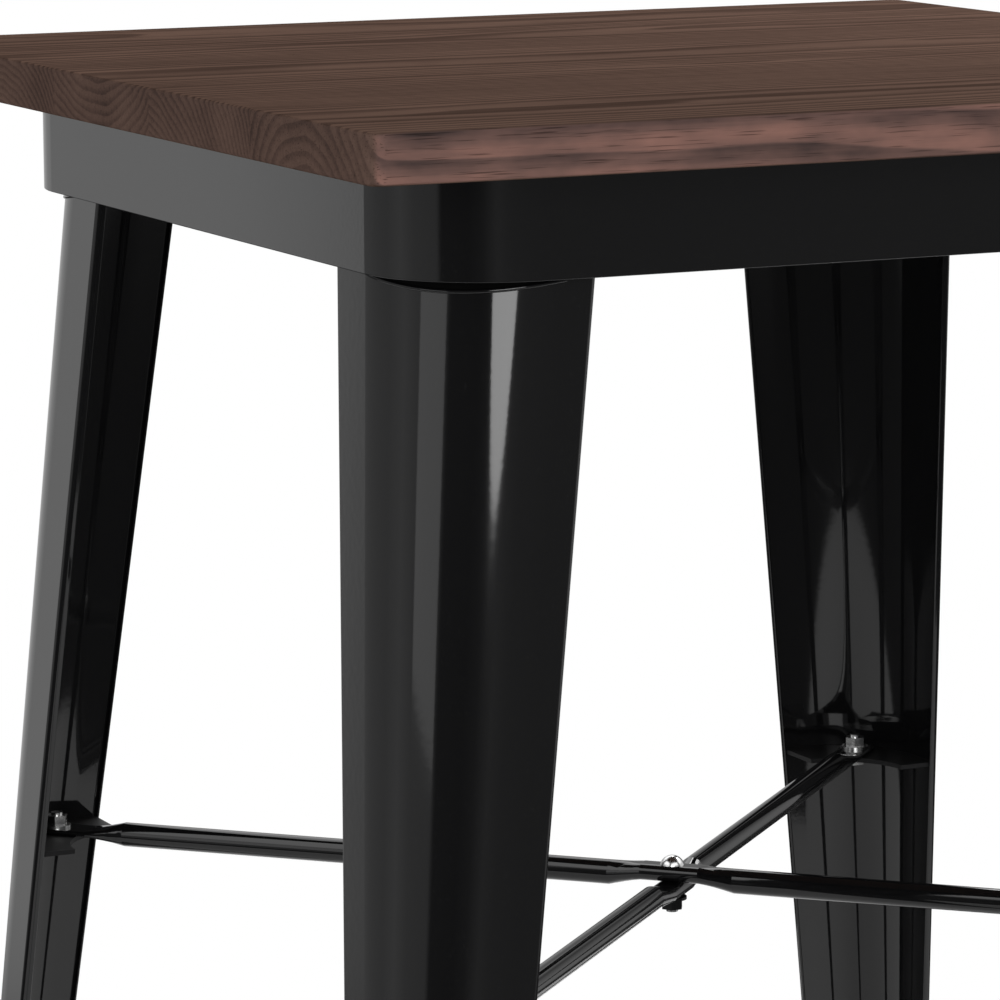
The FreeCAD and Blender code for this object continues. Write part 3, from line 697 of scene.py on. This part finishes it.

# %% [markdown]
# Each finished sheet takes the place of the solid leg at its corner, which is hidden. It
# rides on the root body and wears the same black coat as the braces.

# %% Put the four legs in place
LEG_TURNS = {"back": 0, "left": 90, "near": 180, "right": 270}


def turned_mesh(name, vertices, faces, turn):
    """Smooth mesh, turned from the back corner to another, and the turn as a matrix."""
    spin = Matrix.Rotation(math.radians(turn), 3, "Z")
    mesh = bpy.data.meshes.new(name)
    mesh.from_pydata([spin @ vertex for vertex in vertices], [], faces)
    mesh.shade_smooth()
    return mesh, spin


for corner, turn in LEG_TURNS.items():
    vertices, faces, normals = leg_sheet(corner)
    mesh, spin = turned_mesh(f"leg_sheet_{corner}", vertices, faces, turn)
    mesh.normals_split_custom_set([spin @ normal for normal in normals])
    mesh.materials.append(leg_coat)
    piece = bpy.data.objects.new(f"leg_sheet_{corner}", mesh)
    scene.collection.objects.link(piece)
    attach(piece, "root")
    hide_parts(f"leg_{corner}")
print(f"{len(LEG_TURNS)} legs drawn")

# %% [markdown]
# ## The shoulder of each leg
#
# Just under the apron each leg has a small pressed shoulder. From above it shows as a thin
# bright line that sags round the corner of the leg, with a dark gap over it. A slim band
# along the outer skin gives both: a flat neck in dull near-black, which is painted shade for
# the gap, and a rounded bead below it that catches the light.

# %% Draw the shoulder band
NECK_TOP = 0.946
SHOULDER_HEIGHT = 0.9416
SHOULDER_SAG = 0.0046
BEAD_RADIUS = 0.0011
BEAD_STEPS = 6
NECK_PROUD = 0.0003
BAND_ROOT = -0.0006
BEAD_FINISH = 0
NECK_SHADE_FINISH = 1
LAST_NECK_POINT = 1
FIRST_ROUND_POINT = FOLD_STEPS + 2


def shoulder_profile(share):
    """Closed outline of the band as (proud, height); share is how far the line sags."""
    middle = SHOULDER_HEIGHT - SHOULDER_SAG * share
    outline = [(BAND_ROOT, NECK_TOP), (NECK_PROUD, NECK_TOP)]
    for step in range(BEAD_STEPS + 1):
        angle = math.pi / 2 - math.pi * step / BEAD_STEPS
        outline.append((BEAD_RADIUS * math.cos(angle), middle + BEAD_RADIUS * math.sin(angle)))
    outline.append((BAND_ROOT, middle - BEAD_RADIUS))
    return outline


def shoulder_band(corner):
    """Band round the outside of one leg as vertices, faces and a finish for each face."""
    vertices = []
    for place in range(ROUND_STEPS + 1):
        share = math.sin(math.pi * place / ROUND_STEPS)
        for proud, height in shoulder_profile(share):
            vertices.append(leg_line(corner, height, -proud)[FIRST_ROUND_POINT + place][0])
    sides = len(shoulder_profile(0.0))
    last = len(vertices) - 1
    faces = [tuple(range(sides)), tuple(range(last, last - sides, -1))]
    finishes = [BEAD_FINISH, BEAD_FINISH]
    for place in range(ROUND_STEPS):
        low = place * sides
        for first in range(sides):
            second = (first + 1) % sides
            faces.append((low + first, low + sides + first, low + sides + second, low + second))
            # Faces of the neck get the near-black painted shade; the bead keeps the leg's coat.
            on_painted_shade_neck = min(first, second) <= LAST_NECK_POINT
            finishes.append(NECK_SHADE_FINISH if on_painted_shade_neck else BEAD_FINISH)
    return vertices, faces, finishes


print(f"{len(shoulder_profile(0.0))} points round the band")

# %% [markdown]
# The neck's near-black is painted shade standing for the dark gap, so it is nearly without
# shine. The bead wears the same coat as the leg.

# %% Put the four shoulders in place
# Painted shade: these near-black tones on the neck stand for the shade in the gap under the apron.
NECK_SHADE_TONES = [(0.3, (0.0015, 0.0015, 0.0015)), (0.8, (0.003, 0.003, 0.003))]
NECK_SCALES = {"Ripple Scale": 600.0, "Mottle Scale": 60.0}
NECK_ROUGHNESS = 0.8
NECK_SHINE = 0.05
SHARP_BEND = math.radians(50)

neck_painted_shade, neck_tree, neck_shader = new_material("neck_painted_shade")
neck_mottle = place_group(neck_tree, skin, NECK_SCALES).outputs["Mottle"]
wire(neck_tree, neck_shader, {
    "Base Color": ramp(neck_tree, neck_mottle, NECK_SHADE_TONES),
    "Roughness": NECK_ROUGHNESS,
    "Specular IOR Level": NECK_SHINE,
})

for corner, turn in LEG_TURNS.items():
    vertices, faces, finishes = shoulder_band(corner)
    mesh, _ = turned_mesh(f"leg_shoulder_{corner}", vertices, faces, turn)
    mesh.set_sharp_from_angle(angle=SHARP_BEND)
    mesh.materials.append(leg_coat)
    mesh.materials.append(neck_painted_shade)
    mesh.polygons.foreach_set("material_index", finishes)
    band = bpy.data.objects.new(f"leg_shoulder_{corner}", mesh)
    scene.collection.objects.link(band)
    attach(band, "root")
print(f"{len(LEG_TURNS)} shoulders drawn")

# %% [markdown]
# ## Zinc and rubber
#
# The bolts, nuts, washers and screws are bright zinc: a pale metal with cloudy patches
# where the plating bath ran off. The washer and nut under the crossing are black like the
# braces. The foot glides are plain black rubber with a dull, slightly dusty face. Both
# finishes follow the same group, so one function makes them.

# %% Materials of fasteners and glides
ZINC_TONES = [(0.25, (0.42, 0.42, 0.43)), (0.75, (0.72, 0.72, 0.71))]
RUBBER_TONES = [(0.3, (0.013, 0.013, 0.013)), (0.8, (0.03, 0.03, 0.03))]
MOTTLE_DULLING = 0.2
FASTENERS = [
    "top_screws", "leg_bolts", "leg_bolt_washers", "leg_weld_nuts",
    "brace_end_bolts", "brace_end_washers", "brace_end_nuts", "crossing_bolt",
]


def mottled_finish(name, scales, tones, roughness, relief, metallic):
    """Finish whose colour, roughness and relief follow the fine skin."""
    material, tree, shader = new_material(name)
    face = place_group(tree, skin, dict(zip(SKIN_DEFAULTS, scales))).outputs
    wire(tree, shader, {
        "Base Color": ramp(tree, face["Mottle"], tones),
        "Roughness": calc(tree, "MULTIPLY_ADD", face["Mottle"], MOTTLE_DULLING, roughness),
        "Normal": raised(tree, face["Ripple"], *relief),
        "Metallic": metallic,
    })
    return material


zinc = mottled_finish(
    "bright_zinc",
    scales=(700.0, 160.0),
    tones=ZINC_TONES,
    roughness=0.14,
    relief=(0.3, 0.00004),
    metallic=1.0,
)
rubber = mottled_finish(
    "glide_rubber",
    scales=(900.0, 90.0),
    tones=RUBBER_TONES,
    roughness=0.6,
    relief=(0.4, 0.0001),
    metallic=0.0,
)
dress(FASTENERS, zinc)
dress(["crossing_washer", "crossing_nut"], leg_coat)
dress(at_corners("foot_glide"), rubber)
print(f"{len(FASTENERS)} groups of fasteners plated, {len(CORNERS)} glides")

# %% [markdown]
# ## The end
#
# The last cell only prints that the scene is dressed.

# %% Say that the scene is dressed
print("scene dressed")
